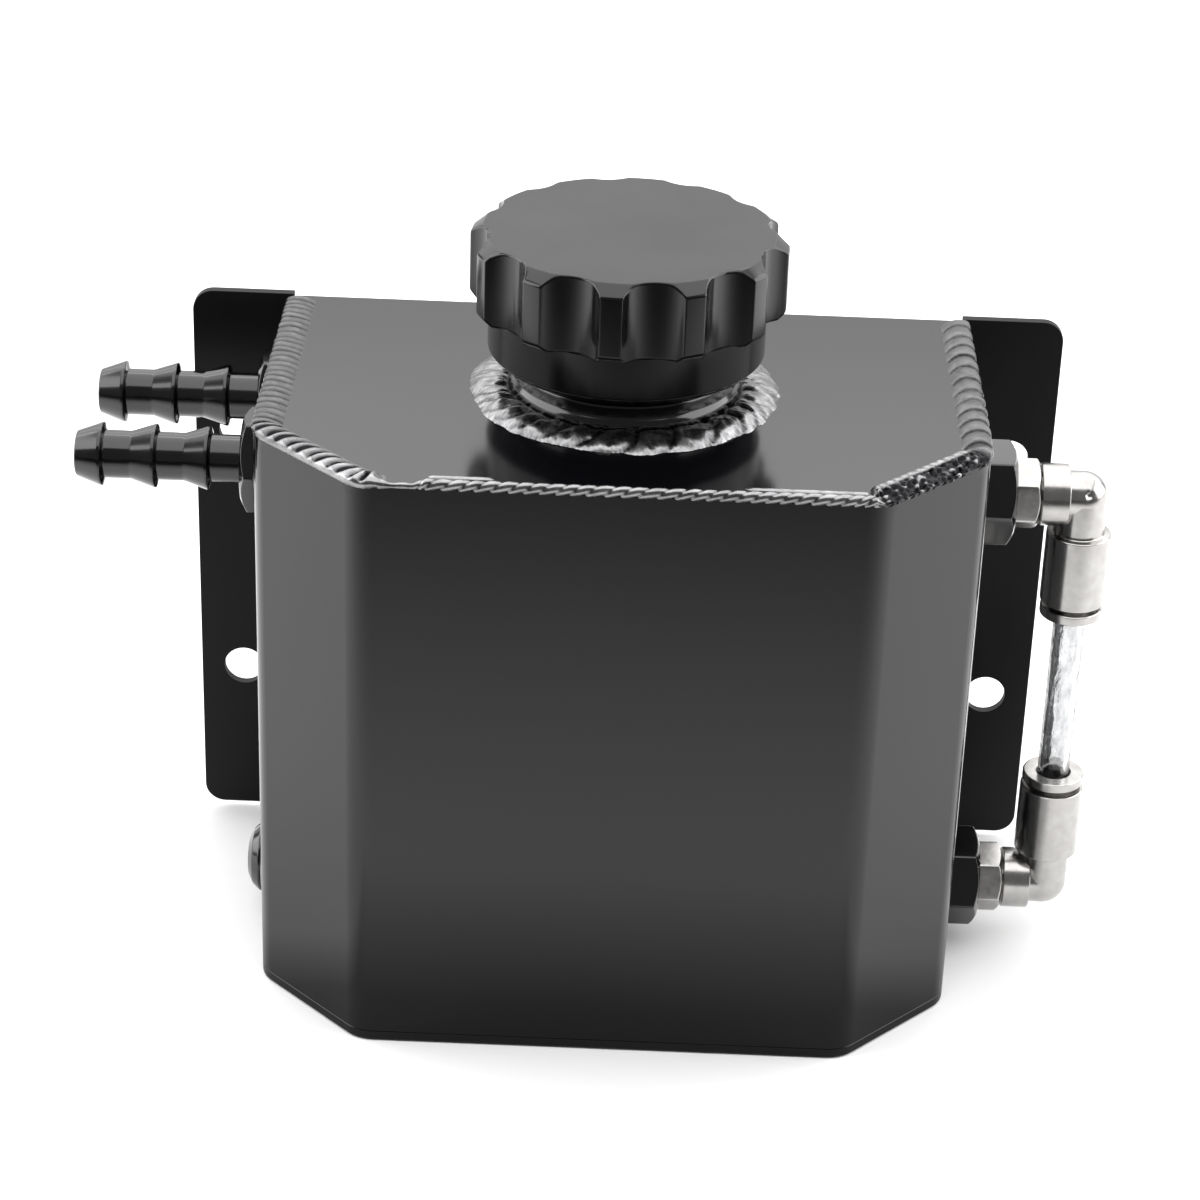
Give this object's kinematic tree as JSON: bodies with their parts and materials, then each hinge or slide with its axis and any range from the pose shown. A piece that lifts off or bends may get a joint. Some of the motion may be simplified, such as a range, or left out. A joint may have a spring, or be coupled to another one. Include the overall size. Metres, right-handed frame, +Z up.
{
  "type": "coolant expansion tank",
  "caption": "Welded sheet-metal coolant expansion tank with mounting ears, fluted screw cap, side hose barbs, drain plug and a side sight-tube level gauge.",
  "frame": {"origin": "centre of the flat bottom face of the tank's box", "axes": "+Z up through the filler neck, +Y to the back where the mounting ears bolt on, +X to the level gauge's side"},
  "size_m": [0.1901, 0.0834, 0.145],
  "materials": {
    "sheet_black": "satin black anodised sheet",
    "weld_black": "black coated weld bead with stacked ripples",
    "turned_black": "bright black anodised, turned",
    "cap_black": "black anodised, matt top and bright flutes",
    "nickel": "nickel plated, satin",
    "black_rubber": "moulded rubber",
    "steel": "plain steel",
    "clear_tube": "clear tube"
  },
  "bodies": {
    "tank": {"body_wrap": "sheet_black", "back_panel": "sheet_black", "top_plate": "sheet_black", "bottom_plate": "sheet_black", "front_barb_bung": "sheet_black", "rear_barb_bung": "sheet_black", "drain_bung": "sheet_black", "top_seam_weld": "weld_black", "bottom_seam_weld": "weld_black", "left_ear_weld": "weld_black", "right_ear_weld": "weld_black", "neck_weld": "weld_black", "filler_neck": "turned_black", "front_barb": "turned_black", "rear_barb": "turned_black", "lower_gauge_bung": "turned_black", "upper_gauge_bung": "turned_black", "lower_stem": "nickel", "upper_stem": "nickel", "lower_elbow": "nickel", "upper_elbow": "nickel", "lower_spacer": "nickel", "upper_spacer": "nickel", "lower_insert": "nickel", "upper_insert": "nickel", "lower_face_seal": "black_rubber", "upper_face_seal": "black_rubber", "lower_swivel_seal": "black_rubber", "upper_swivel_seal": "black_rubber", "lower_tube_seal": "black_rubber", "upper_tube_seal": "black_rubber", "front_barb_washer": "steel", "rear_barb_washer": "steel", "lower_grab_ring": "steel", "upper_grab_ring": "steel", "sight_tube": "clear_tube"},
    "cap_carrier": {"cap_seal": "black_rubber"},
    "cap": {"cap": "cap_black"},
    "drain_carrier": {"drain_washer": "steel"},
    "drain_plug": {"drain_plug": "turned_black"},
    "lower_collet": {"lower_collet": "nickel"},
    "upper_collet": {"upper_collet": "nickel"}
  },
  "joints": [
    {"name": "cap_lift", "type": "slide", "parent": "tank", "child": "cap_carrier", "axis": [0, 0, 1], "range_m": [0, 0.01451]},
    {"name": "cap_turn", "type": "hinge", "parent": "cap_carrier", "child": "cap", "pos_m": [0, 0.003, 0.138], "axis": [0, 0, 1], "range_deg": [0, 1740]},
    {"name": "drain_draw", "type": "slide", "parent": "tank", "child": "drain_carrier", "axis": [-1, 0, 0], "range_m": [0, 0.0085]},
    {"name": "drain_turn", "type": "hinge", "parent": "drain_carrier", "child": "drain_plug", "pos_m": [-0.0672, 0.0035, 0.011], "axis": [-1, 0, 0], "range_deg": [0, 3061]},
    {"name": "lower_release", "type": "slide", "parent": "tank", "child": "lower_collet", "axis": [0, 0, -1], "range_m": [0, 0.0009], "stiffness_N_per_m": 300, "springref_m": -0.0005},
    {"name": "upper_release", "type": "slide", "parent": "tank", "child": "upper_collet", "axis": [0, 0, 1], "range_m": [0, 0.0009], "stiffness_N_per_m": 300, "springref_m": -0.0005}
  ],
  "couplings": [
    {"joint": "cap_lift", "follows": "cap_turn", "m_per_rad": 0.00047746},
    {"joint": "drain_turn", "follows": "drain_draw", "rad_per_m": 6283.2}
  ]
}
